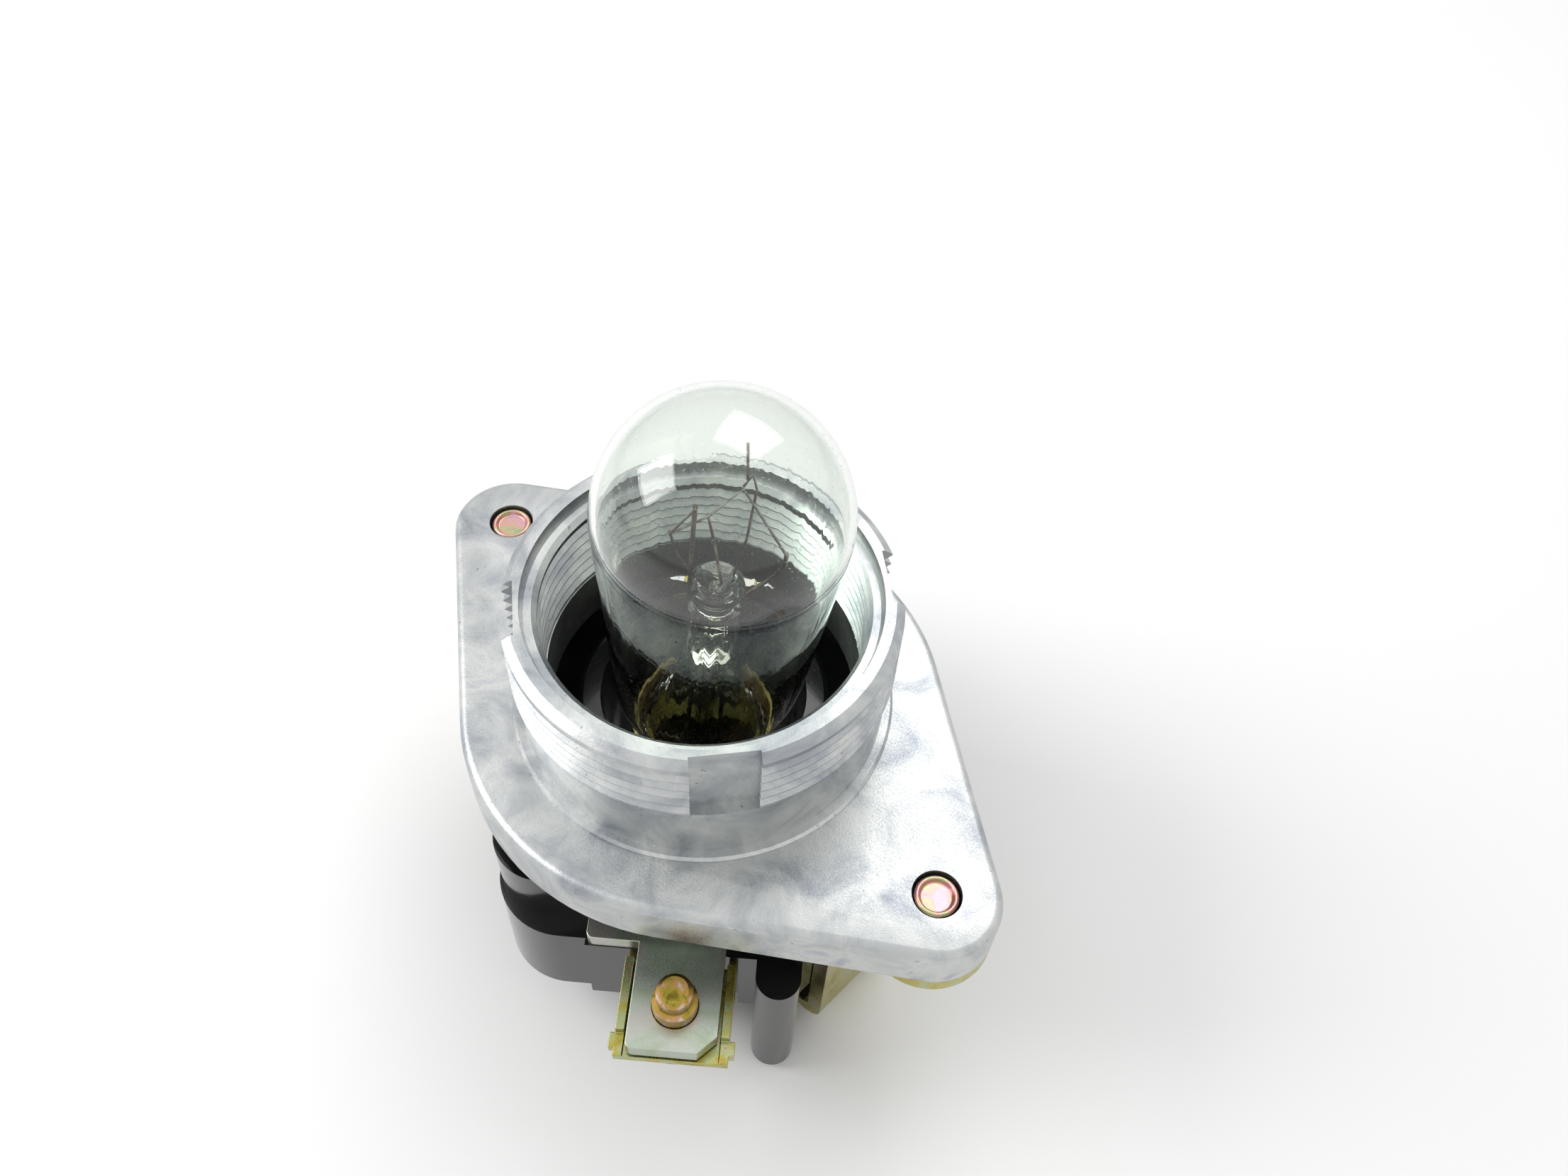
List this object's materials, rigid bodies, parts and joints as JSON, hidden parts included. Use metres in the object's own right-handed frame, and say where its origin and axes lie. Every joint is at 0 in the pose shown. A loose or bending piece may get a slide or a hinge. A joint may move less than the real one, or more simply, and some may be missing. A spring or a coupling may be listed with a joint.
{
  "type": "signal lamp fitting",
  "caption": "Panel-mount signal lamp fitting: threaded slotted collar on a two-eared flange, strap-hung moulded holder, two saddle-clamp terminals and a clear screw-cap lamp.",
  "frame": {"origin": "on the collar's axis, in the flange face that bears on the back of the panel", "axes": "+Z along the collar's axis towards the bulb, +X along the flange's long axis towards one ear, +Y across it"},
  "size_m": [0.084, 0.0636, 0.0819],
  "materials": {
    "cast_zinc": "cast, fine grain, satin",
    "rivet_steel": "yellow passivated",
    "passivated_steel": "yellow passivated sheet",
    "phenolic": "moulded, glossy",
    "shell_brass": "drawn brass",
    "tinned_brass": "tinned",
    "leaf_bronze": "rolled bronze",
    "screw_steel": "yellow passivated, worn",
    "bulb_glass": "clear blown glass",
    "stem_glass": "clear pressed glass",
    "nickel_wire": "drawn wire",
    "tungsten": "coiled wire",
    "cap_cement": "baked cement",
    "cap_brass": "drawn brass",
    "cap_glass": "black glass",
    "solder": "soldered"
  },
  "bodies": {
    "root": {"flange_collar": "cast_zinc", "rivets": "rivet_steel", "bracket": "passivated_steel", "body_screws": "passivated_steel", "holder_body": "phenolic", "screw_shell": "shell_brass", "contact_strip": "tinned_brass", "contact_rivet": "shell_brass", "terminal_plate_front": "tinned_brass", "terminal_plate_rear": "tinned_brass"},
    "contact_leaf": {"contact_leaf": "leaf_bronze"},
    "front_clamp": {"clamp_front": "passivated_steel"},
    "front_screw": {"terminal_screw_front": "screw_steel"},
    "rear_clamp": {"clamp_rear": "passivated_steel"},
    "rear_screw": {"terminal_screw_rear": "screw_steel"},
    "lamp_contact": {"cap_contact": "solder"},
    "lamp": {"bulb_glass": "bulb_glass", "stem_glass": "stem_glass", "exhaust_tube": "stem_glass", "lead_wires": "nickel_wire", "support_wires": "nickel_wire", "filament": "tungsten", "cap_cement": "cap_cement", "lamp_cap": "cap_brass", "cap_insulator": "cap_glass"}
  },
  "joints": [
    {"name": "lamp_rise", "type": "slide", "parent": "root", "child": "lamp_contact", "axis": [0, 0, 1], "range_m": [0, 0.01128]},
    {"name": "lamp_turn", "type": "hinge", "parent": "lamp_contact", "child": "lamp", "pos_m": [0, 0, 0], "axis": [0, 0, 1], "range_deg": [0, 1440.5]},
    {"name": "front_clamp_travel", "type": "slide", "parent": "root", "child": "front_clamp", "axis": [0, 0, -1], "range_m": [-0.00028, 0.00298]},
    {"name": "front_screw_turn", "type": "hinge", "parent": "front_clamp", "child": "front_screw", "pos_m": [0.02061, -0.02383, -0.018], "axis": [0, 0, -1], "range_deg": [-130, 1345]},
    {"name": "rear_clamp_travel", "type": "slide", "parent": "root", "child": "rear_clamp", "axis": [0, 0, -1], "range_m": [-0.00028, 0.00298]},
    {"name": "rear_screw_turn", "type": "hinge", "parent": "rear_clamp", "child": "rear_screw", "pos_m": [-0.02061, 0.02383, -0.018], "axis": [0, 0, -1], "range_deg": [-130, 1345]},
    {"name": "leaf_press", "type": "hinge", "parent": "root", "child": "contact_leaf", "pos_m": [-0.00454, 0.00533, -0.0312], "axis": [0.7615, 0.6481, 0], "range_deg": [0, 5.5], "stiffness_Nm_per_rad": 0.05, "springref_deg": -2.86}
  ],
  "couplings": [
    {"joint": "lamp_turn", "follows": "lamp_rise", "rad_per_m": 2228.1},
    {"joint": "front_screw_turn", "follows": "front_clamp_travel", "rad_per_m": 7854},
    {"joint": "rear_screw_turn", "follows": "rear_clamp_travel", "rad_per_m": 7854}
  ]
}
